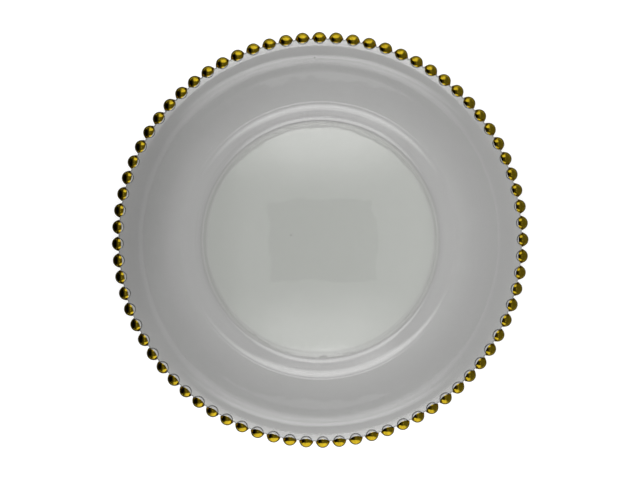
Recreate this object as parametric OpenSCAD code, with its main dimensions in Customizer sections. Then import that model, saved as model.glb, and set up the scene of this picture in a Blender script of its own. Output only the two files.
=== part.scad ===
// Charger plate of clear pressed glass with a beaded edge. The well is flat, a step leads up to a
// wide rim, and balls moulded along the edge carry thin gold coats. Lengths are in millimetres.
// The origin is the centre of the foot ring's underside, on the surface that the plate stands on.

/* [Plate] */
// Diameter over the gold balls
overall_d = 330; // [300:1:360]
// Diameter of the flat well
well_d = 188; // [150:1:194]
// Thickness of the glass in the well
well_t = 4; // [3:0.1:5]
// Thickness of the glass at its outer edge
edge_t = 3; // [2.4:0.1:3.6]

/* [Foot ring] */
// Height that the foot ring holds the well above the table
foot_h = 1.2; // [0.8:0.1:2]
// Width of the foot ring's underside
foot_w = 4; // [3:0.5:8]
// How far the foot ring reaches out past the flat well
foot_lap = 2.5; // [2:0.1:4]

/* [Step and rim] */
// Radius of the hollow curve at the foot of the step
fold_r = 7; // [5:0.5:14]
// Slope of the step's wall in degrees
wall_tilt = 40; // [32:1:46]
// Width of the step's straight wall, seen from above
wall_w = 5.2; // [3:0.1:8]
// Radius of the round shoulder at the top of the step
shoulder_r = 14; // [9:0.5:20]
// Slope of the rim from the shoulder out to its upturn, in degrees
rim_tilt = 4.5; // [2:0.5:6]
// Steepest slope of the upturn near the edge, in degrees
upturn_tilt = 16.5; // [8:0.5:18]
// Width of the hollow curve where the rim turns up
upturn_w = 19.5; // [12:0.5:22]
// Width of the round crest between the upturn and the flat lip
crest_w = 1.5; // [1:0.5:6]
// Width of the flat lip that carries the balls
lip_w = 5; // [4.5:0.5:8]

/* [Beads] */
// Number of balls along the edge
bead_count = 76; // [60:1:76]
// Diameter of a bare glass ball
bead_d = 9.4; // [8:0.1:9.6]
// How far the glass edge stays inside the circle of ball centres
edge_setback = 0.3; // [0.1:0.1:1]

/* [Gold] */
// Thickness of the gold coat
coat_t = 0.15; // [0.1:0.05:0.3]
// Mean width of the bare glass crescent on a ball, seen from above
bare_w = 1.6; // [0.8:0.1:2]
// How much the crescent widens on one side of the plate and narrows on the other
bare_drift = 0.5; // [0:0.1:0.7]
// Direction on the plate in which the crescents are widest, in degrees
bare_drift_dir = 235; // [0:5:355]

/* [Hidden] */

// Flat pieces of each curve of the outline
curve_steps = 5;
// Sides of the round solids
round_fn = 180;
ball_fn = 48;
// One overrun for all cuts
overrun = 1;

well_r = well_d / 2;
floor_z = foot_h + well_t;
foot_out_r = well_r + foot_lap;
foot_in_r = foot_out_r - foot_w;

bead_r = bead_d / 2;
bead_ring_r = overall_d / 2 - bead_r - coat_t;
edge_r = bead_ring_r - edge_setback;
lip_in_r = edge_r - lip_w;
steep_r = lip_in_r - crest_w;
upturn_r = steep_r - upturn_w;

// A place on the plate's upper face is [radius, height, slope in degrees]
function last(list) = list[len(list) - 1];

// Places along a curve that goes on from a place, hollow for a positive radius and round for a
// negative one, until it has the slope to_tilt
function curve_on(from, radius, to_tilt) = [
    for (i = [1:curve_steps])
    let (tilt = from[2] + (to_tilt - from[2]) * i / curve_steps)
    [
        from[0] + radius * (sin(tilt) - sin(from[2])),
        from[1] + radius * (cos(from[2]) - cos(tilt)),
        tilt
    ]
];

// Radius of the curve that goes on from a place to the distance to_r with the slope to_tilt
function reach_radius(from, to_r, to_tilt) = (to_r - from[0]) / (sin(to_tilt) - sin(from[2]));

// The point straight under a place, square to the face, through glass of this thickness
function under(place, thickness) = [
    place[0] + thickness * sin(place[2]),
    place[1] - thickness * cos(place[2])
];

// Thickness of the rim, which tapers from the shoulder to the lip
function rim_t(r) = well_t + (edge_t - well_t) * (r - rim_start[0]) / (lip_in_r - rim_start[0]);

well_end = [well_r, floor_z, 0];
fold = curve_on(well_end, fold_r, wall_tilt);
wall_end = [last(fold)[0] + wall_w, last(fold)[1] + wall_w * tan(wall_tilt), wall_tilt];
shoulder = curve_on(wall_end, -shoulder_r, rim_tilt);
rim_start = last(shoulder);
rim_end = [upturn_r, rim_start[1] + (upturn_r - rim_start[0]) * tan(rim_tilt), rim_tilt];
upturn = curve_on(rim_end, reach_radius(rim_end, steep_r, upturn_tilt), upturn_tilt);
steep = last(upturn);
crest = curve_on(steep, reach_radius(steep, lip_in_r, 0), 0);
lip_z = last(crest)[1];
bead_z = lip_z - edge_t / 2;

// Angle round the fold's centre at which its underside leaves the foot ring
foot_tilt = asin(foot_lap / (fold_r + well_t));
under_fold = [
    for (i = [0:curve_steps])
    let (tilt = wall_tilt + (foot_tilt - wall_tilt) * i / curve_steps)
    [well_r + (fold_r + well_t) * sin(tilt), floor_z + fold_r - (fold_r + well_t) * cos(tilt)]
];
edge_outline = [[edge_r, lip_z], [edge_r, lip_z - edge_t]];

// Half of the plate's section, from the middle over the upper face to the edge, and back below
rim_places = concat([rim_end], upturn, crest);
upper_face = concat([[0, floor_z]], [
    for (place = concat([well_end], fold, [wall_end], shoulder, rim_places)) [place[0], place[1]]
]);
lower_face = concat(
    [for (i = [len(rim_places) - 1:-1:0]) under(rim_places[i], rim_t(rim_places[i][0]))],
    [for (i = [curve_steps - 1:-1:0]) under(shoulder[i], well_t)],
    [under(wall_end, well_t)],
    under_fold
);
foot_outline = [
    [foot_out_r, 0],
    [foot_in_r, 0],
    [foot_in_r - foot_h, foot_h],
    [0, foot_h]
];

// The dish without its balls
module dish() {
    rotate_extrude($fn = round_fn)
    polygon(concat(upper_face, edge_outline, lower_face, foot_outline));
}

// Puts its children at each ball's place, with X pointing away from the middle. $turn is the
// angle of the place.
module at_each_bead() {
    for (i = [0:bead_count - 1]) {
        $turn = 90 + i * 360 / bead_count;
        rotate([0, 0, $turn])
        translate([bead_ring_r, 0, bead_z])
        children();
    }
}

module ball(skin) {
    sphere(r = bead_r + skin, $fn = ball_fn);
}

// The thin coat on one ball, open where the bare crescent is, and cut out where the ball sits on
// the glass edge
module coat(bare) {
    block = 2 * (bead_r + coat_t + overrun);
    difference() {
        ball(coat_t);
        ball(0);
        translate([bare - bead_r - block, -block / 2, -block / 2])
        cube(block);
        translate([-bead_ring_r, 0, -edge_t / 2])
        cylinder(r = edge_r, h = edge_t, $fn = round_fn);
    }
}

module glass_plate() {
    color([0.78, 0.8, 0.78, 0.55])
    union() {
        dish();
        at_each_bead() ball(0);
    }
}

module gold_bead_coats() {
    color([0.83, 0.67, 0.2])
    at_each_bead() coat(bare_w + bare_drift * cos($turn - bare_drift_dir));
}

glass_plate();
gold_bead_coats();
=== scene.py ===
"""Charger plate of clear pressed glass with a beaded edge coated in gold, seen from above.

The plate stands on a pale floor between two low light walls. The plate's own lengths are in
millimetres until a mesh is made. The world and the studio are in metres, in the frame of the
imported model.
"""

from __future__ import annotations

import logging
import math
import random
from collections.abc import Callable, Sequence
from dataclasses import dataclass, field
from enum import Enum

import bmesh
import bpy
from mathutils import Matrix, Vector


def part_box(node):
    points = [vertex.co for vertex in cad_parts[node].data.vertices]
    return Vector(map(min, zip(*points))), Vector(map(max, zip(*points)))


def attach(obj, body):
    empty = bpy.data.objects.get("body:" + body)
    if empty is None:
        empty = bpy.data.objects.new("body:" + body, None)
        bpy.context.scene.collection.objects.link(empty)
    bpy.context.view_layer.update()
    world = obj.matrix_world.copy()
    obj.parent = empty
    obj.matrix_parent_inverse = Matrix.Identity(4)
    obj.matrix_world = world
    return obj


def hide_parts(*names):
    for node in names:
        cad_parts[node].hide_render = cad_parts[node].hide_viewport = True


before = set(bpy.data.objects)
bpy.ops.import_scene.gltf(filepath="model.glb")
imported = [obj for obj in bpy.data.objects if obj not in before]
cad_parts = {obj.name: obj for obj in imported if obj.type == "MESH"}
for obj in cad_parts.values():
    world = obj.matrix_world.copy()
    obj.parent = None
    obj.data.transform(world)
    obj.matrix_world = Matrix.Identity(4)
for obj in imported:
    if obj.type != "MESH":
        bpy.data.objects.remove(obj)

MM = 0.001
# Points of a mesh closer than this are one, in metres
WELD = 0.001 * MM
FULL_TURN = 2 * math.pi

# The photograph's width, and how wide the plate is in it, in pixels
PHOTO_WIDTH_PX = 640
PLATE_WIDTH_PX = 416.8

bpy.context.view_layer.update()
log = logging.getLogger("charger_plate")


class Cut(Enum):
    """What a boolean modifier does with its second mesh."""

    JOIN = "UNION"
    TAKE_AWAY = "DIFFERENCE"


def work_on(piece: bpy.types.Object) -> None:
    """Selects one object alone and makes it active.

    Args:
        piece: The object that the next operators act on.
    """
    bpy.ops.object.select_all(action="DESELECT")
    piece.select_set(True)
    bpy.context.view_layer.objects.active = piece


def pick_points(piece: bpy.types.Object, test: Callable[[Vector], bool]) -> None:
    """Selects in edit mode the points that pass a test.

    Args:
        piece: The object in edit mode.
        test: Says of a point, in metres, whether it is picked.
    """
    bpy.ops.mesh.select_mode(type="VERT")
    bpy.ops.mesh.select_all(action="DESELECT")
    mesh = bmesh.from_edit_mesh(piece.data)
    for point in mesh.verts:
        if test(point.co):
            point.select_set(True)
    bmesh.update_edit_mesh(piece.data)


def boolean(piece: bpy.types.Object, other: bpy.types.Object, cut: Cut) -> None:
    """Joins another closed mesh to a piece, or cuts it out of it, and removes the other object.

    Args:
        piece: The object that changes.
        other: The closed mesh that is used up.
        cut: Whether the other mesh is joined or taken away.
    """
    work_on(piece)
    modifier = piece.modifiers.new(cut.name.lower(), "BOOLEAN")
    modifier.operation = cut.value
    modifier.solver = "MANIFOLD"
    modifier.object = other
    bpy.ops.object.modifier_apply(modifier=modifier.name)
    bpy.data.objects.remove(other)


def smooth(piece: bpy.types.Object, sharp_degrees: float) -> None:
    """Shades a piece smooth but for edges sharper than an angle.

    Args:
        piece: The object to shade.
        sharp_degrees: The angle past which an edge stays sharp.
    """
    work_on(piece)
    bpy.ops.object.shade_smooth_by_angle(angle=math.radians(sharp_degrees))


def even_normals(piece: bpy.types.Object) -> None:
    """Shades large flat faces flat up to their edges, as pressed glass shows them.

    Args:
        piece: The object to shade.
    """
    work_on(piece)
    modifier = piece.modifiers.new("even_normals", "WEIGHTED_NORMAL")
    modifier.keep_sharp = True
    bpy.ops.object.modifier_apply(modifier=modifier.name)


def linear(colour: str) -> tuple[float, float, float, float]:
    """Turns an sRGB hex colour to linear light.

    Args:
        colour: Six hex digits after a hash sign.

    Returns:
        Red, green, blue and an alpha of 1.
    """
    def channel(value: float) -> float:
        """One channel from sRGB to linear, both from 0 to 1."""
        return value / 12.92 if value <= 0.04045 else ((value + 0.055) / 1.055) ** 2.4

    red, green, blue = (channel(int(colour[i : i + 2], 16) / 255) for i in (1, 3, 5))
    return red, green, blue, 1.0


def add_node(
    tree: bpy.types.NodeTree,
    kind: str,
    settings: dict[str, object] | None = None,
    inputs: dict[str | int, object] | None = None,
) -> bpy.types.Node:
    """Adds one shader node with its settings, values and links.

    Args:
        tree: The node tree of a material or world.
        kind: The node's type name.
        settings: Attributes of the node itself.
        inputs: Values for input sockets, or the output sockets that they are linked to.

    Returns:
        The new node.
    """
    node = tree.nodes.new(kind)
    for name, value in (settings or {}).items():
        setattr(node, name, value)
    for name, value in (inputs or {}).items():
        if isinstance(value, bpy.types.NodeSocket):
            tree.links.new(value, node.inputs[name])
        else:
            node.inputs[name].default_value = value
    return node


def calculate(
    tree: bpy.types.NodeTree, operation: str, *values: bpy.types.NodeSocket | float
) -> bpy.types.NodeSocket:
    """Adds one math node.

    Args:
        tree: The node tree of a material.
        operation: The name of the calculation.
        values: The sockets or numbers that it works on, in order.

    Returns:
        The socket of the result.
    """
    inputs = dict(enumerate(values))
    return add_node(tree, "ShaderNodeMath", {"operation": operation}, inputs).outputs[0]


def set_stops(ramp: bpy.types.Node, tones: Sequence[tuple[float, str]], reach: float) -> None:
    """Sets the stops of a colour ramp.

    Args:
        ramp: The colour ramp.
        tones: Places in millimetres with their tones.
        reach: The length that the whole ramp stands for, in millimetres.
    """
    stops = ramp.color_ramp.elements
    while len(stops) < len(tones):
        stops.new(1.0)
    for stop, (level, colour) in zip(stops, tones):
        stop.position = level / reach
        stop.color = linear(colour)


def new_material(name: str) -> tuple[bpy.types.Material, bpy.types.NodeTree]:
    """Makes an empty node material.

    Args:
        name: The name of the real material.

    Returns:
        The material and its node tree.
    """
    material = bpy.data.materials.new(name)
    material.use_nodes = True
    material.node_tree.nodes.clear()
    return material, material.node_tree


@dataclass(frozen=True)
class Place:
    """A place on the plate's upper face, with the face's slope there."""

    radius: float
    height: float
    tilt: float

    def under(self, thickness: float) -> tuple[float, float]:
        """The point square under this place, through glass of a thickness.

        Args:
            thickness: The thickness of the glass, in millimetres.

        Returns:
            The point's radius and height.
        """
        return (
            self.radius + thickness * math.sin(self.tilt),
            self.height - thickness * math.cos(self.tilt),
        )


@dataclass(frozen=True)
class Section:
    """The plate's section in millimetres and degrees, as in the solid model but for its foot.

    The foot ring's flanks are fire polished here to soft waves, where the solid has plain ones,
    and the outer edge is round.
    """

    well_r: float = 94.0
    glass_t: float = 4.0
    edge_t: float = 3.0
    foot_h: float = 1.2
    foot_in_r: float = 92.5
    foot_out_r: float = 94.0
    foot_flank_w: float = 3.2
    fold_r: float = 7.0
    # Share of the wall's tilt by which the fold's underside turns back before the foot ring
    fold_under_share: float = 0.5
    wall_tilt: float = 40.0
    wall_w: float = 5.2
    shoulder_r: float = 14.0
    rim_tilt: float = 4.5
    upturn_tilt: float = 16.5
    upturn_w: float = 19.5
    crest_w: float = 1.5
    lip_w: float = 5.0
    # Straight runs of each curve, and of the edge, in the section
    steps: int = 10
    edge_steps: int = 8
    # Faces round the axis, four for each bead
    turns: int = 304

    def curve(self, start: Place, radius: float, to_degrees: float) -> list[Place]:
        """Places along a curve that goes on from a place.

        Args:
            start: Where the curve begins.
            radius: Hollow for a positive radius, round for a negative one.
            to_degrees: The slope at which it ends.

        Returns:
            The places after the start.
        """
        places = []
        for step in range(1, self.steps + 1):
            tilt = start.tilt + (math.radians(to_degrees) - start.tilt) * step / self.steps
            places.append(
                Place(
                    start.radius + radius * (math.sin(tilt) - math.sin(start.tilt)),
                    start.height + radius * (math.cos(start.tilt) - math.cos(tilt)),
                    tilt,
                )
            )
        return places

    def curve_to(self, start: Place, to_radius: float, to_degrees: float) -> list[Place]:
        """Places along the curve that reaches a distance from the axis with a slope.

        Args:
            start: Where the curve begins.
            to_radius: The distance from the axis at which it ends.
            to_degrees: The slope at which it ends.

        Returns:
            The places after the start.
        """
        change = math.sin(math.radians(to_degrees)) - math.sin(start.tilt)
        return self.curve(start, (to_radius - start.radius) / change, to_degrees)

    def wave(
        self, start: tuple[float, float], end: tuple[float, float]
    ) -> list[tuple[float, float]]:
        """Points along a soft wave that leaves and arrives level.

        Args:
            start: Where the wave begins, as radius and height.
            end: Where it ends.

        Returns:
            The points after the start.
        """
        points = []
        for step in range(1, self.steps + 1):
            share = step / self.steps
            rise = (1 - math.cos(math.pi * share)) / 2
            points.append(
                (
                    start[0] + (end[0] - start[0]) * share,
                    start[1] + (end[1] - start[1]) * rise,
                )
            )
        return points

    def outline(self, edge_r: float) -> tuple[list[tuple[float, float]], float]:
        """The half section, from the axis over the upper face and back below.

        Args:
            edge_r: The distance from the axis to the glass edge.

        Returns:
            The points as radius and height, and the height of the middle of the edge.
        """
        floor_z = self.foot_h + self.glass_t
        wall = math.radians(self.wall_tilt)
        rim = math.radians(self.rim_tilt)
        lip_in_r = edge_r - self.lip_w
        steep_r = lip_in_r - self.crest_w
        upturn_r = steep_r - self.upturn_w

        well_end = Place(self.well_r, floor_z, 0.0)
        fold = self.curve(well_end, self.fold_r, self.wall_tilt)
        wall_end = Place(
            fold[-1].radius + self.wall_w,
            fold[-1].height + self.wall_w * math.tan(wall),
            wall,
        )
        shoulder = self.curve(wall_end, -self.shoulder_r, self.rim_tilt)
        rim_start = shoulder[-1]
        rim_end = Place(
            upturn_r, rim_start.height + (upturn_r - rim_start.radius) * math.tan(rim), rim
        )
        upturn = self.curve_to(rim_end, steep_r, self.upturn_tilt)
        crest = self.curve_to(upturn[-1], lip_in_r, 0.0)
        lip_z = crest[-1].height
        edge_z = lip_z - self.edge_t / 2
        edge_round = self.edge_t / 2
        edge_mid_r = edge_r - edge_round
        edge = [
            (edge_mid_r + edge_round * math.sin(turn), edge_z + edge_round * math.cos(turn))
            for turn in (math.pi * i / self.edge_steps for i in range(self.edge_steps + 1))
        ]

        def rim_t(radius: float) -> float:
            """Thickness of the rim, which tapers from the shoulder to the lip."""
            share = (radius - rim_start.radius) / (lip_in_r - rim_start.radius)
            return self.glass_t + (self.edge_t - self.glass_t) * share

        rim_places = [rim_end, *upturn, *crest]
        under_fold_r = self.fold_r + self.glass_t
        under_fold = [
            (
                self.well_r + under_fold_r * math.sin(tilt),
                floor_z + self.fold_r - under_fold_r * math.cos(tilt),
            )
            for tilt in (
                wall * (1 - self.fold_under_share * i / self.steps)
                for i in range(self.steps + 1)
            )
        ]
        foot = [
            *self.wave(under_fold[-1], (self.foot_out_r, 0.0)),
            (self.foot_in_r, 0.0),
            *self.wave((self.foot_in_r, 0.0), (self.foot_in_r - self.foot_flank_w, self.foot_h)),
        ]
        points = [(0.0, floor_z)]
        points += [(place.radius, place.height) for place in (well_end, *fold, wall_end)]
        points += [(place.radius, place.height) for place in (*shoulder, *rim_places)]
        points += edge
        points += [place.under(rim_t(place.radius)) for place in reversed(rim_places)]
        points += [place.under(self.glass_t) for place in reversed(shoulder)]
        points += [wall_end.under(self.glass_t), *under_fold, *foot, (0.0, self.foot_h)]
        return points, edge_z


@dataclass(frozen=True)
class Beads:
    """The beads along the edge: balls drawn out to a point at both sides, in millimetres."""

    count: int = 76
    radius: float = 4.7
    edge_setback: float = 0.3
    half_length: float = 5.1
    point_reach: float = 5.75
    coat_gap: float = 0.02
    coat_t: float = 0.15
    # How far each ring of points moves out and in, from the point of the bead to its body
    pull_shares: tuple[float, ...] = (1.0, 0.5, 0.2, 0.08)
    pinches: tuple[float, ...] = (1.0, 0.8, 0.95, 0.98)

    def bead(self, name: str, skin: float, segments: int, rings: int) -> bpy.types.Object:
        """Models one bead at the origin with its two points along Y.

        Args:
            name: The object's name.
            skin: How much larger the bead is than the bare glass.
            segments: Faces round the line from point to point.
            rings: Faces from point to point.

        Returns:
            The bead.
        """
        radius = (self.radius + skin) * MM
        half_length = (self.half_length + skin) * MM
        bpy.ops.object.select_all(action="DESELECT")
        bpy.ops.mesh.primitive_uv_sphere_add(
            segments=segments,
            ring_count=rings,
            radius=radius,
            rotation=(math.pi / 2, 0, 0),
        )
        bead = bpy.context.object
        bead.name = name
        bpy.ops.object.transform_apply(location=False, rotation=True, scale=False)
        bpy.ops.object.mode_set(mode="EDIT")
        bpy.ops.transform.resize(value=(1, half_length / radius, 1), center_override=(0, 0, 0))
        near = half_length * (1 - math.cos(math.pi / rings)) / 2
        for side in (-1, 1):
            for ring, (share, pinch) in enumerate(zip(self.pull_shares, self.pinches)):
                level = side * half_length * math.cos(math.pi * ring / rings)
                pick_points(bead, lambda co: abs(co.y - level) < near)
                pull = side * (self.point_reach - self.half_length) * MM * share
                bpy.ops.transform.resize(value=(pinch, 1, pinch), center_override=(0, level, 0))
                bpy.ops.transform.translate(value=(0, pull, 0))
        bpy.ops.object.mode_set(mode="OBJECT")
        return bead

    def ring_of(self, piece: bpy.types.Object, ring_r: float, height: float) -> None:
        """Moves a bead's mesh out to the edge and repeats it round the plate.

        Args:
            piece: The object, with its mesh about the origin.
            ring_r: The distance of the beads from the axis, in millimetres.
            height: The height of their middles, in millimetres.
        """
        work_on(piece)
        bpy.ops.object.mode_set(mode="EDIT")
        bpy.ops.mesh.select_all(action="SELECT")
        bpy.ops.transform.translate(value=(ring_r * MM, 0, height * MM))
        bpy.ops.mesh.spin(
            steps=self.count - 1,
            dupli=True,
            angle=FULL_TURN * (self.count - 1) / self.count,
            center=(0, 0, 0),
            axis=(0, 0, 1),
        )
        bpy.ops.object.mode_set(mode="OBJECT")


@dataclass(frozen=True)
class PressedGlass:
    """Clear soda-lime glass, pressed in a mould and fire polished."""

    # Tone of the glass at distances from the axis, in millimetres, painted shade on clear glass: a
    # grey depth for the shaded floor seen through it, a painted light ring and painted dark rings
    # at the foot ring and the fold, a painted darkening over the rim, where the floor under it lies
    # in shadow, and a painted dark line along the edge
    tones: tuple[tuple[float, str], ...] = (
        (0.0, "#c6c8c4"),
        (89.2, "#c6c8c4"),
        (90.8, "#cccdca"),
        (92.4, "#bcbdba"),
        (93.4, "#bdbebb"),
        (94.4, "#c4c5c2"),
        (95.3, "#c1c1bf"),
        (96.4, "#c0c0bf"),
        (98.2, "#c2c2c1"),
        (100.5, "#c5c5c4"),
        (114.0, "#bfbfbe"),
        (128.0, "#b7b7b6"),
        (156.0, "#acacab"),
        (158.6, "#acacab"),
        (159.6, "#828281"),
    )
    tone_reach: float = 170.0
    roughness: float = 0.0
    # Colour of a bead's bare dome by its height over the lip in millimetres: a painted dark line
    # where the dome meets the lip, and untinted glass above it, painted lighter than the plate
    dome_painted_light_and_shade: tuple[tuple[float, str], ...] = (
        (0.0, "#ffffff"),
        (0.08, "#6e6e6d"),
        (0.7, "#6e6e6d"),
        (1.4, "#ffffff"),
    )
    dome_reach: float = 4.0
    # Long waves of the pressing and the short ripples on them
    wave_mm: float = 34.0
    wave_detail: float = 1.0
    ripple_mm: float = 7.0
    ripple_detail: float = 2.0
    ripple_share: float = 0.12
    relief_strength: float = 0.25
    relief_mm: float = 0.4
    # Places of the two seeds, their radius, and the share of it that is quite dark
    seed_spots: tuple[tuple[float, float], ...] = ((-3.8, 145.1), (-23.6, 4.5))
    seed_mm: float = 0.55
    seed_core: float = 0.3
    seed_tone: str = "#2c2c2c"

    def seeds(self, tree: bpy.types.NodeTree, place: bpy.types.NodeSocket) -> bpy.types.NodeSocket:
        """Adds the two small seeds, the bubbles that show as dark specks.

        Args:
            tree: The material's nodes.
            place: The Object coordinates.

        Returns:
            A socket that is 1 on clear glass and falls to 0 on a seed.
        """
        clear = None
        for x, y in self.seed_spots:
            flat = add_node(
                tree,
                "ShaderNodeVectorMath",
                {"operation": "MULTIPLY_ADD"},
                {0: place, 1: (1, 1, 0), 2: (-x * MM, -y * MM, 0)},
            )
            away = add_node(
                tree, "ShaderNodeVectorMath", {"operation": "LENGTH"}, {0: flat.outputs[0]}
            )
            spot = add_node(
                tree,
                "ShaderNodeMapRange",
                {"interpolation_type": "SMOOTHSTEP"},
                {
                    0: away.outputs["Value"],
                    1: self.seed_core * self.seed_mm * MM,
                    2: self.seed_mm * MM,
                },
            ).outputs["Result"]
            clear = spot if clear is None else calculate(tree, "MULTIPLY", clear, spot)
        return clear

    def dome(
        self, tree: bpy.types.NodeTree, place: bpy.types.NodeSocket, lip_z: float
    ) -> tuple[bpy.types.NodeSocket, bpy.types.NodeSocket]:
        """Adds the painted light and shade of the beads' bare domes, which stand clear of the lip.

        Args:
            tree: The material's nodes.
            place: The Object coordinates.
            lip_z: The height of the flat lip, in millimetres.

        Returns:
            A socket that is 1 on the domes, and their painted colour.
        """
        axes = add_node(tree, "ShaderNodeSeparateXYZ", None, {0: place})
        over = calculate(
            tree,
            "MULTIPLY_ADD",
            axes.outputs["Z"],
            1 / (self.dome_reach * MM),
            -lip_z / self.dome_reach,
        )
        ramp = add_node(tree, "ShaderNodeValToRGB", None, {0: over})
        set_stops(ramp, self.dome_painted_light_and_shade, self.dome_reach)
        on_dome = calculate(tree, "GREATER_THAN", over, self.dome_painted_light_and_shade[1][0] / self.dome_reach)
        return on_dome, ramp.outputs[0]

    def material(self, lip_z: float) -> bpy.types.Material:
        """Builds the glass.

        Args:
            lip_z: The height of the flat lip, in millimetres.

        Returns:
            The material: a grey-green tint with rings of painted shade, lighter painted domes with
                a
            painted dark line where they meet the lip, and a soft pressed waviness that bends the
            reflections a little.
        """
        material, tree = new_material("pressed soda-lime glass")
        place = add_node(tree, "ShaderNodeTexCoord").outputs["Object"]
        waves = add_node(
            tree,
            "ShaderNodeTexNoise",
            {"noise_dimensions": "3D"},
            {"Vector": place, "Scale": 1 / (self.wave_mm * MM), "Detail": self.wave_detail},
        )
        ripples = add_node(
            tree,
            "ShaderNodeTexNoise",
            {"noise_dimensions": "3D"},
            {
                "Vector": place,
                "Scale": 1 / (self.ripple_mm * MM),
                "Detail": self.ripple_detail,
            },
        )
        relief = calculate(
            tree, "MULTIPLY_ADD", ripples.outputs["Fac"], self.ripple_share, waves.outputs["Fac"]
        )
        bump = add_node(
            tree,
            "ShaderNodeBump",
            None,
            {
                "Height": relief,
                "Strength": self.relief_strength,
                "Distance": self.relief_mm * MM,
            },
        )
        flat = add_node(
            tree, "ShaderNodeVectorMath", {"operation": "MULTIPLY"}, {0: place, 1: (1, 1, 0)}
        )
        away = add_node(
            tree, "ShaderNodeVectorMath", {"operation": "LENGTH"}, {0: flat.outputs[0]}
        )
        # Painted shade in rings by the distance from the axis
        share = calculate(tree, "MULTIPLY", away.outputs["Value"], 1 / (self.tone_reach * MM))
        painted_shade_tint = add_node(tree, "ShaderNodeValToRGB", None, {0: share})
        set_stops(painted_shade_tint, self.tones, self.tone_reach)
        on_dome, dome_painted_colour = self.dome(tree, place, lip_z)
        body = add_node(
            tree,
            "ShaderNodeMix",
            {"data_type": "RGBA"},
            {"Factor": on_dome, "A": painted_shade_tint.outputs[0], "B": dome_painted_colour},
        )
        seeded = add_node(
            tree,
            "ShaderNodeMix",
            {"data_type": "RGBA"},
            {
                "Factor": self.seeds(tree, place),
                "A": linear(self.seed_tone),
                "B": body.outputs["Result"],
            },
        )
        shader = add_node(
            tree,
            "ShaderNodeBsdfPrincipled",
            None,
            {
                "Base Color": seeded.outputs["Result"],
                "Roughness": self.roughness,
                "Transmission Weight": 1.0,
                "Normal": bump.outputs["Normal"],
            },
        )
        add_node(tree, "ShaderNodeOutputMaterial", None, {"Surface": shader.outputs["BSDF"]})
        return material


@dataclass(frozen=True)
class GoldCoat:
    """A bright gold film, fired on glass and burnished."""

    gold: str = "#b89f23"
    thin_gold: str = "#a2881d"
    # The film's roughness, and how many times rougher it gets on the blotches
    roughness: float = 0.07
    rough_growth: float = 2.2
    blotch_mm: float = 1.6
    blotch_detail: float = 3.0
    blotch_roughness: float = 0.6
    # Levels of the blotches between which the film thins out, and between which it gets rougher
    thin_levels: tuple[float, float] = (0.42, 0.66)
    rough_levels: tuple[float, float] = (0.3, 0.7)
    swell_strength: float = 0.35
    swell_mm: float = 0.12

    def material(self) -> bpy.types.Material:
        """Builds the gold.

        Returns:
            The material: a mirror of warm yellow metal with small swells and thinner, browner
            places in the film.
        """
        material, tree = new_material("burnished liquid gold")
        place = add_node(tree, "ShaderNodeTexCoord")
        blotches = add_node(
            tree,
            "ShaderNodeTexNoise",
            {"noise_dimensions": "3D"},
            {
                "Vector": place.outputs["Object"],
                "Scale": 1 / (self.blotch_mm * MM),
                "Detail": self.blotch_detail,
                "Roughness": self.blotch_roughness,
            },
        )
        film = add_node(
            tree,
            "ShaderNodeMapRange",
            None,
            {
                0: blotches.outputs["Fac"],
                1: self.thin_levels[0],
                2: self.thin_levels[1],
                3: 0.0,
                4: 1.0,
            },
        )
        colour = add_node(
            tree,
            "ShaderNodeMix",
            {"data_type": "RGBA"},
            {
                "Factor": film.outputs["Result"],
                "A": linear(self.gold),
                "B": linear(self.thin_gold),
            },
        )
        rough = add_node(
            tree,
            "ShaderNodeMapRange",
            None,
            {
                0: blotches.outputs["Fac"],
                1: self.rough_levels[0],
                2: self.rough_levels[1],
                3: self.roughness,
                4: self.roughness * self.rough_growth,
            },
        )
        bump = add_node(
            tree,
            "ShaderNodeBump",
            None,
            {
                "Height": blotches.outputs["Fac"],
                "Strength": self.swell_strength,
                "Distance": self.swell_mm * MM,
            },
        )
        shader = add_node(
            tree,
            "ShaderNodeBsdfPrincipled",
            None,
            {
                "Base Color": colour.outputs["Result"],
                "Metallic": 1.0,
                "Roughness": rough.outputs["Result"],
                "Normal": bump.outputs["Normal"],
            },
        )
        add_node(tree, "ShaderNodeOutputMaterial", None, {"Surface": shader.outputs["BSDF"]})
        return material


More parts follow.
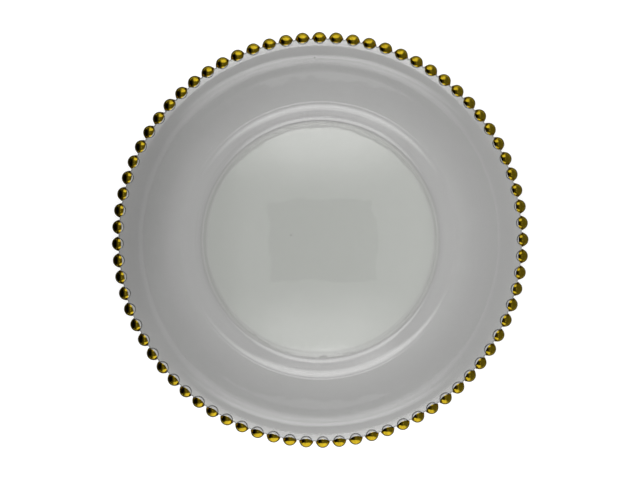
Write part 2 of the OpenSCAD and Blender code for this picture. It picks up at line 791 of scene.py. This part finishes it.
@dataclass
class GlassPlate:
    """The glass moulding: dish, foot ring and the beads along its edge."""

    section: Section
    beads: Beads
    finish: PressedGlass
    ring_r: float
    bead_segments: int = 24
    bead_rings: int = 16
    sharp_degrees: float = 32.0

    def draw_section(self) -> tuple[bpy.types.Object, float]:
        """Draws half the plate's section as a chain of edges.

        Returns:
            The object that holds the chain, and the height of the middle of the edge.
        """
        points, edge_z = self.section.outline(self.ring_r - self.beads.edge_setback)
        bpy.ops.object.select_all(action="DESELECT")
        # Any small plane does, because it is merged to the first point of the chain
        bpy.ops.mesh.primitive_plane_add(size=self.section.glass_t * MM)
        piece = bpy.context.object
        bpy.ops.object.mode_set(mode="EDIT")
        bpy.ops.mesh.merge(type="CENTER")
        bpy.ops.transform.translate(value=(points[0][0] * MM, 0, points[0][1] * MM))
        for before, after in zip(points, points[1:]):
            step = ((after[0] - before[0]) * MM, 0, (after[1] - before[1]) * MM)
            bpy.ops.mesh.extrude_vertices_move(TRANSFORM_OT_translate={"value": step})
        bpy.ops.object.mode_set(mode="OBJECT")
        return piece, edge_z

    def build(self) -> tuple[bpy.types.Object, float]:
        """Turns the section round the axis and joins the beads to the edge.

        Returns:
            The glass piece, and the height of the middles of the beads.
        """
        piece, edge_z = self.draw_section()
        piece.name = "pressed_glass_plate"
        work_on(piece)
        bpy.ops.object.mode_set(mode="EDIT")
        bpy.ops.mesh.select_all(action="SELECT")
        bpy.ops.mesh.spin(
            steps=self.section.turns, angle=FULL_TURN, center=(0, 0, 0), axis=(0, 0, 1)
        )
        bpy.ops.mesh.select_all(action="SELECT")
        bpy.ops.mesh.remove_doubles(threshold=WELD)
        bpy.ops.mesh.dissolve_degenerate(threshold=WELD)
        bpy.ops.mesh.select_all(action="SELECT")
        bpy.ops.mesh.normals_make_consistent(inside=False)
        bpy.ops.object.mode_set(mode="OBJECT")
        beads = self.beads.bead("beads", 0.0, self.bead_segments, self.bead_rings)
        self.beads.ring_of(beads, self.ring_r, edge_z)
        boolean(piece, beads, Cut.JOIN)
        smooth(piece, self.sharp_degrees)
        even_normals(piece)
        return piece, edge_z

    def dress(self, piece: bpy.types.Object, edge_z: float) -> None:
        """Gives the glass its material and its place in the frame.

        Args:
            piece: The glass piece.
            edge_z: The height of the middle of the edge, in millimetres.
        """
        piece.data.materials.clear()
        piece.data.materials.append(self.finish.material(edge_z + self.section.edge_t / 2))
        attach(piece, "root")
        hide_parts("glass_plate")


@dataclass
class GoldCoats:
    """The gold coats on the beads, each open on the side that faces the well."""

    section: Section
    beads: Beads
    finish: GoldCoat
    ring_r: float
    height: float
    bare_w: float = 1.6
    bare_drift: float = 0.5
    bare_drift_degrees: float = 235.0
    bare_lean_degrees: float = 42.0
    # How far each opening strays from its width and its direction
    uneven_w: float = 0.12
    uneven_degrees: float = 4.0
    # How much wider a block is than a bead is long, and its height in bead radii
    block_spare: float = 0.3
    block_reach: float = 3.0
    segments: int = 32
    rings: int = 16
    sharp_degrees: float = 35.0
    seed: int = 11

    def openings(self) -> bpy.types.Object:
        """Makes the blocks that keep the coats off the inner sides of the beads.

        The blocks lean, so that a bead's bare side is a narrow crescent from above and lets the
        eye through to the floor.

        Returns:
            One object that holds a block for each bead.
        """
        draw = random.Random(self.seed)
        block_w = 2 * self.beads.point_reach + self.block_spare
        block_h = self.block_reach * self.beads.radius
        lean = math.radians(self.bare_lean_degrees)
        blocks = []
        for i in range(self.beads.count):
            turn = math.pi / 2 + FULL_TURN * i / self.beads.count
            drift = math.cos(turn - math.radians(self.bare_drift_degrees))
            bare = self.bare_w + self.bare_drift * drift + draw.uniform(-1, 1) * self.uneven_w
            above = math.acos(1 - bare / self.beads.radius)
            away = self.beads.radius * math.cos(above + lean) + block_h / 2
            out = self.ring_r - away * math.cos(lean)
            bpy.ops.object.select_all(action="DESELECT")
            bpy.ops.mesh.primitive_cube_add(
                size=1,
                scale=(block_h * MM, block_w * MM, block_h * MM),
                location=(
                    out * math.cos(turn) * MM,
                    out * math.sin(turn) * MM,
                    (self.height - away * math.sin(lean)) * MM,
                ),
                rotation=(
                    0,
                    -lean,
                    turn + math.radians(draw.uniform(-1, 1) * self.uneven_degrees),
                ),
            )
            blocks.append(bpy.context.object)
        for block in blocks:
            block.select_set(True)
        bpy.context.view_layer.objects.active = blocks[0]
        bpy.ops.object.join()
        bpy.ops.object.transform_apply()
        return bpy.context.object

    def build(self) -> bpy.types.Object:
        """Hollows out a ring of beads, opens them and cuts out the lip of the glass.

        Returns:
            The object that holds all the coats.
        """
        gap = self.beads.coat_gap
        coats = self.beads.bead("gold_bead_films", self.beads.coat_t, self.segments, self.rings)
        cores = self.beads.bead("cores", gap, self.segments, self.rings)
        for piece in (coats, cores):
            self.beads.ring_of(piece, self.ring_r, self.height)
        boolean(coats, cores, Cut.TAKE_AWAY)
        boolean(coats, self.openings(), Cut.TAKE_AWAY)
        bpy.ops.object.select_all(action="DESELECT")
        bpy.ops.mesh.primitive_cylinder_add(
            vertices=self.section.turns,
            radius=(self.ring_r - self.beads.edge_setback + gap) * MM,
            depth=(self.section.edge_t + 2 * gap) * MM,
            location=(0, 0, self.height * MM),
        )
        bpy.ops.object.transform_apply()
        boolean(coats, bpy.context.object, Cut.TAKE_AWAY)
        smooth(coats, self.sharp_degrees)
        return coats

    def dress(self, piece: bpy.types.Object) -> None:
        """Gives the coats their material and their place in the frame.

        Args:
            piece: The object that holds all the coats.
        """
        piece.data.materials.clear()
        piece.data.materials.append(self.finish.material())
        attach(piece, "root")
        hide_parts("gold_bead_coats")


@dataclass(frozen=True)
class LightCard:
    """A glowing card whose light fades towards its edges. The camera doesn't see it.

    A glint lights the fire-polished glass alone, and the other cards all but that.
    """

    name: str
    centre: tuple[float, float, float]
    target: tuple[float, float, float]
    width: float
    height: float
    radiance: float
    fade: float = 0.5
    glint: bool = True

    def build(self) -> None:
        """Adds the card."""
        bpy.ops.object.select_all(action="DESELECT")
        bpy.ops.mesh.primitive_plane_add(size=1)
        card = bpy.context.object
        card.name = self.name
        card.scale = (self.width, self.height, 1)
        card.location = self.centre
        aim = Vector(self.target) - Vector(self.centre)
        card.rotation_euler = aim.to_track_quat("-Z", "Y").to_euler()
        card.visible_camera = False
        # A glowing card gives the eye a soft-edged light in whatever mirrors it
        material, tree = new_material(self.name)
        place = add_node(tree, "ShaderNodeTexCoord").outputs["Object"]
        axes = add_node(tree, "ShaderNodeSeparateXYZ", None, {0: place})
        glow: bpy.types.NodeSocket | float = self.radiance
        for axis in ("X", "Y"):
            off = calculate(tree, "ABSOLUTE", axes.outputs[axis])
            fall = add_node(
                tree,
                "ShaderNodeMapRange",
                {"interpolation_type": "SMOOTHSTEP"},
                {0: off, 1: 0.5 * (1 - self.fade), 2: 0.5, 3: 1.0, 4: 0.0},
            )
            glow = calculate(tree, "MULTIPLY", fall.outputs["Result"], glow)
        seen = add_node(tree, "ShaderNodeLightPath").outputs["Is Singular Ray"]
        if self.glint:
            material.cycles.emission_sampling = "NONE"
        else:
            seen = calculate(tree, "SUBTRACT", 1.0, seen)
        glow = calculate(tree, "MULTIPLY", glow, seen)
        shine = add_node(tree, "ShaderNodeEmission", None, {"Strength": glow})
        gauze = add_node(tree, "ShaderNodeBsdfTransparent")
        both = add_node(
            tree, "ShaderNodeAddShader", None, {0: shine.outputs[0], 1: gauze.outputs[0]}
        )
        add_node(tree, "ShaderNodeOutputMaterial", None, {"Surface": both.outputs["Shader"]})
        card.data.materials.append(material)


@dataclass
class Studio:
    """The pale floor, the cards, the tent and the camera that hangs over the plate."""

    plate_w: float
    plate_z: float
    floor_size: float = 8.0
    floor_drop_mm: float = 0.05
    floor_tone: str = "#b3b3b3"
    # Glow of the white paper that glass and metal see, at the left and at the right: a painted
    # gradient of light from the right. The right one is also what the camera sees
    floor_glow: tuple[float, float] = (0.42, 0.63)
    glow_towards: tuple[float, float, float] = (0.98, -0.2, 0)
    # The glow grows from one of these distances to the other, measured towards the right
    glow_reach: tuple[float, float] = (-0.2, 0.2)
    # Painted shadow under the left rim: the paper keeps this share of its glow there, with a soft
    # edge
    painted_shadow_share: float = 0.77
    painted_shadow_reach: tuple[float, float] = (-0.15, -0.11)
    room: float = 1.15
    tent_r: float = 1.6
    tent_segments: int = 48
    # Painted glow of the tent and of its skirt, at the left and at the right
    tent_glow: tuple[float, float] = (0.08, 0.19)
    skirt_glow: tuple[float, float] = (0.0, 0.2)
    # The cloth's glow changes between these places along X
    cloth_reach: tuple[float, float] = (-0.35, 0.15)
    # The skirt starts under the plate, at a share of its width, a little over the floor. Near the
    # plate it is painted shade for the floor in the plate's shadow. In front of and behind the
    # plate it is lit from a distance on, with a soft edge, as painted light for the lit floor.
    skirt_share: float = 0.48
    skirt_lift_mm: float = 0.3
    skirt_lit_from: float = 0.2
    lit_soft_w: float = 0.05
    board_centre: tuple[float, float, float] = (0.04, -0.075, 1.21)
    board_size: tuple[float, float, float] = (0.17, 0.13, 0.03)
    screen_centre: tuple[float, float, float] = (-0.34, 0, 0.26)
    screen_size: tuple[float, float, float] = (0.01, 0.56, 0.52)
    board_tone: str = "#0a0a0a"
    # A dark hoop that the edge of the well mirrors
    hoop_centre: tuple[float, float, float] = (0.019, -0.04, 0.6)
    hoop_r: float = 0.1397
    hoop_bar_r: float = 0.0033
    camera_away: float = 1.2
    camera_near: float = 0.05
    sensor_mm: float = 36.0
    # The camera leans a little to the upper left, as the spacing of the beads in the photo shows
    camera_lean_degrees: float = 4.0
    camera_side_degrees: float = 117.0
    camera_turn_degrees: float = -0.49
    camera_aim_mm: tuple[float, float] = (-0.84, 1.27)
    # Each card's name, centre, target, width, height, radiance and fade, and False for a card
    # that isn't a glint
    cards: Sequence[LightCard] = field(
        default_factory=lambda: (
            LightCard("wall_back", (0, 0.22, 0.16), (0, 0, 0.1), 0.36, 0.3, 1.3, 0.5, False),
            LightCard("wall_front", (0, -0.22, 0.09), (0, 0, 0.06), 0.36, 0.2, 1.4, 0.5, False),
            LightCard(
                "roof_back", (0.04, 0.25, 1.19), (0, 0.25, 0), 0.34, 0.34, 0.5, 0.5, False
            ),
            LightCard(
                "roof_front", (0.04, -0.39, 1.19), (0, -0.39, 0), 0.34, 0.34, 0.5, 0.5, False
            ),
            LightCard(
                "ceiling", (0.06, -0.075, 1.27), (0.06, -0.075, 0), 0.38, 0.5, 0.15, 0.3, False
            ),
            LightCard(
                "wall_glint_back", (-0.03, 0.275, 0.365), (-0.03, 0, 0.02), 0.65, 0.62, 3.5, 0.6
            ),
            LightCard("wall_glint_front", (0, -0.31, 0.28), (0, 0, 0.02), 0.66, 0.52, 3.4, 0.7),
            LightCard("top_glint_back", (0.04, 0.10, 1.2), (0.04, 0.1, 0), 0.36, 0.22, 1.4, 0.8),
            LightCard(
                "top_glint_front", (0.04, -0.25, 1.2), (0.04, -0.25, 0), 0.36, 0.22, 1.5, 0.8
            ),
            LightCard("high_glint_back", (0.04, 0.147, 1.19), (0.04, 0.147, 0), 0.5, 0.1, 2.5, 0.7),
            LightCard(
                "high_glint_front", (0.04, -0.285, 1.19), (0.04, -0.285, 0), 0.5, 0.1, 2.2, 0.7
            ),
            LightCard(
                "ceiling_glint", (0.06, -0.075, 1.25), (0.06, -0.075, 0), 0.38, 0.5, 0.5, 0.3
            ),
        )
    )

    def floor(self) -> None:
        """Lays the pale floor, which keeps the plate's shadow."""
        bpy.ops.object.select_all(action="DESELECT")
        bpy.ops.mesh.primitive_plane_add(
            size=self.floor_size, location=(0, 0, -self.floor_drop_mm * MM)
        )
        floor = bpy.context.object
        floor.name = "floor"
        # Matt paper gives the eye an even white with a soft shadow and no mirror image; glass and
        # metal see it with a painted glow that grows to the right and a painted shadow under the
        # left rim
        material, tree = new_material("matt white paper")
        place = add_node(tree, "ShaderNodeTexCoord").outputs["Object"]
        side = add_node(
            tree,
            "ShaderNodeVectorMath",
            {"operation": "DOT_PRODUCT"},
            {0: place, 1: self.glow_towards},
        )
        left, right = self.floor_glow
        paper = add_node(
            tree,
            "ShaderNodeMapRange",
            None,
            {
                0: side.outputs["Value"],
                1: self.glow_reach[0],
                2: self.glow_reach[1],
                3: left,
                4: right,
            },
        )
        # Painted shadow under the left rim, in the glow that glass and metal see
        fall = add_node(
            tree,
            "ShaderNodeMapRange",
            {"interpolation_type": "SMOOTHSTEP"},
            {
                0: side.outputs["Value"],
                1: self.painted_shadow_reach[0],
                2: self.painted_shadow_reach[1],
                3: self.painted_shadow_share,
                4: 1.0,
            },
        )
        lit = calculate(tree, "MULTIPLY", paper.outputs["Result"], fall.outputs["Result"])
        path = add_node(tree, "ShaderNodeLightPath").outputs
        mirrored = calculate(tree, "MAXIMUM", path["Is Glossy Ray"], path["Is Transmission Ray"])
        through_glass = calculate(tree, "MULTIPLY", mirrored, lit)
        glow = calculate(tree, "MULTIPLY_ADD", path["Is Camera Ray"], right, through_glass)
        shine = add_node(tree, "ShaderNodeEmission", None, {"Strength": glow})
        matt = add_node(tree, "ShaderNodeBsdfDiffuse", None, {"Color": linear(self.floor_tone)})
        both = add_node(
            tree,
            "ShaderNodeAddShader",
            None,
            {0: shine.outputs["Emission"], 1: matt.outputs["BSDF"]},
        )
        add_node(tree, "ShaderNodeOutputMaterial", None, {"Surface": both.outputs["Shader"]})
        floor.data.materials.append(material)

    def reflected_only(self, cloth: bpy.types.Object) -> None:
        """Shows a piece of the studio to reflections alone.

        Args:
            cloth: The tent, the skirt, a board or the hoop.
        """
        cloth.visible_camera = False
        cloth.visible_diffuse = False
        cloth.visible_transmission = False
        cloth.visible_shadow = False

    def cloth_with_painted_glow(
        self, name: str, dim_glow: tuple[float, float], lit_from: float
    ) -> bpy.types.Material:
        """Makes the tent's cloth with a painted glow, darker on the left than on the right.

        Args:
            name: The material's name.
            dim_glow: The cloth's glow at the left and at the right.
            lit_from: The distance in front of and behind the plate from which the cloth is lit.

        Returns:
            The material: a dark even tone with no texture, as felt gives when it is mirrored.
        """
        material, tree = new_material(name)
        place = add_node(tree, "ShaderNodeTexCoord").outputs["Object"]
        axes = add_node(tree, "ShaderNodeSeparateXYZ", None, {0: place})
        dim = add_node(
            tree,
            "ShaderNodeMapRange",
            None,
            {
                0: axes.outputs["X"],
                1: self.cloth_reach[0],
                2: self.cloth_reach[1],
                3: dim_glow[0],
                4: dim_glow[1],
            },
        )
        # Past the given distance the cloth glows fully, painted light for the lit floor
        off = calculate(tree, "ABSOLUTE", axes.outputs["Y"])
        lit = add_node(
            tree,
            "ShaderNodeMapRange",
            None,
            {0: off, 1: lit_from, 2: lit_from + self.lit_soft_w, 3: 0.0, 4: 1.0},
        )
        glow = calculate(tree, "MAXIMUM", dim.outputs["Result"], lit.outputs["Result"])
        shine = add_node(tree, "ShaderNodeEmission", None, {"Strength": glow})
        add_node(tree, "ShaderNodeOutputMaterial", None, {"Surface": shine.outputs["Emission"]})
        material.cycles.emission_sampling = "NONE"
        return material

    def tent(self) -> None:
        """Hangs a dark tent with a painted glow round the set, and lays its skirt of painted shade
        and glow on the floor round the plate.
        """
        bpy.ops.object.select_all(action="DESELECT")
        bpy.ops.mesh.primitive_uv_sphere_add(
            segments=self.tent_segments,
            ring_count=self.tent_segments // 2,
            radius=self.tent_r,
        )
        tent = bpy.context.object
        tent.name = "tent"
        # The tent ends before the distance from which its cloth would be lit
        tent.data.materials.append(self.cloth_with_painted_glow("black felt with painted glow", self.tent_glow, 2 * self.tent_r))
        self.reflected_only(tent)
        skirt_r = self.skirt_share * self.plate_w
        bpy.ops.object.select_all(action="DESELECT")
        bpy.ops.mesh.primitive_circle_add(
            vertices=2 * self.tent_segments,
            radius=skirt_r,
            location=(0, 0, self.skirt_lift_mm * MM),
        )
        skirt = bpy.context.object
        skirt.name = "skirt"
        bpy.ops.object.mode_set(mode="EDIT")
        bpy.ops.mesh.select_all(action="SELECT")
        bpy.ops.mesh.extrude_edges_move()
        grow = self.tent_r / skirt_r
        bpy.ops.transform.resize(value=(grow, grow, 1), center_override=(0, 0, 0))
        bpy.ops.object.mode_set(mode="OBJECT")
        skirt.data.materials.append(
            self.cloth_with_painted_glow("skirt of painted shade and glow", self.skirt_glow, self.skirt_lit_from)
        )
        self.reflected_only(skirt)

    def boards(self) -> None:
        """Hangs a dark board and hoop, which the flat well mirrors, and a screen at the left."""
        # Black board gives the eye a dark patch where polished glass mirrors it
        material, tree = new_material("black board")
        black = add_node(tree, "ShaderNodeBsdfDiffuse", None, {"Color": linear(self.board_tone)})
        add_node(tree, "ShaderNodeOutputMaterial", None, {"Surface": black.outputs["BSDF"]})
        for name, size, centre in (
            ("board", self.board_size, self.board_centre),
            ("screen", self.screen_size, self.screen_centre),
        ):
            bpy.ops.object.select_all(action="DESELECT")
            bpy.ops.mesh.primitive_cube_add(size=1, scale=size, location=centre)
            board = bpy.context.object
            board.name = name
            board.data.materials.append(material)
            self.reflected_only(board)
        bpy.ops.object.select_all(action="DESELECT")
        bpy.ops.mesh.primitive_torus_add(
            major_radius=self.hoop_r, minor_radius=self.hoop_bar_r, location=self.hoop_centre
        )
        hoop = bpy.context.object
        hoop.name = "hoop"
        hoop.data.materials.append(material)
        self.reflected_only(hoop)

    def world(self) -> None:
        """Surrounds the scene with an even pale room."""
        world = bpy.data.worlds.new("pale room")
        bpy.context.scene.world = world
        world.use_nodes = True
        tree = world.node_tree
        tree.nodes.clear()
        room = add_node(
            tree, "ShaderNodeBackground", None, {"Color": linear("#ffffff"), "Strength": self.room}
        )
        add_node(tree, "ShaderNodeOutputWorld", None, {"Surface": room.outputs["Background"]})

    def camera(self) -> None:
        """Hangs the camera above the plate so that it fills the photograph's frame."""
        data = bpy.data.cameras.new("overhead")
        view_w = self.plate_w * PHOTO_WIDTH_PX / PLATE_WIDTH_PX
        data.sensor_width = self.sensor_mm
        data.lens = data.sensor_width * self.camera_away / view_w
        data.clip_start = self.camera_near
        camera = bpy.data.objects.new("overhead", data)
        bpy.context.scene.collection.objects.link(camera)
        lean = math.radians(self.camera_lean_degrees)
        side = math.radians(self.camera_side_degrees)
        turn = math.radians(self.camera_turn_degrees)
        back = Vector(
            (math.sin(lean) * math.cos(side), math.sin(lean) * math.sin(side), math.cos(lean))
        )
        aim = Vector((self.camera_aim_mm[0] * MM, self.camera_aim_mm[1] * MM, self.plate_z))
        camera.location = Matrix.Rotation(turn, 3, "Z") @ (aim + back * self.camera_away)
        camera.rotation_euler = (-math.asin(back.y), math.atan2(back.x, back.z), turn)
        bpy.context.scene.camera = camera

    def build(self) -> None:
        """Builds floor, room, tent, cards and camera."""
        self.floor()
        self.world()
        self.tent()
        self.boards()
        for card in self.cards:
            card.build()
            log.info("card %s", card.name)
        self.camera()
        bpy.context.scene.view_settings.view_transform = "Standard"


def main() -> None:
    """Builds the plate and its studio, and reports each piece."""
    logging.basicConfig(level=logging.INFO, format="%(name)s: %(message)s")
    low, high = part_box("gold_bead_coats")
    section = Section()
    beads = Beads()
    ring_r = (high.x - low.x) / 2 / MM - beads.radius - beads.coat_t

    glass = GlassPlate(section, beads, PressedGlass(), ring_r)
    plate, edge_z = glass.build()
    glass.dress(plate, edge_z)
    log.info("%s: %d faces", plate.name, len(plate.data.polygons))

    gold = GoldCoats(section, beads, GoldCoat(), ring_r, edge_z)
    coats = gold.build()
    gold.dress(coats)
    log.info("%s: %d faces", coats.name, len(coats.data.polygons))

    Studio(plate_w=high.x - low.x, plate_z=edge_z * MM).build()


if __name__ == "__main__":
    main()
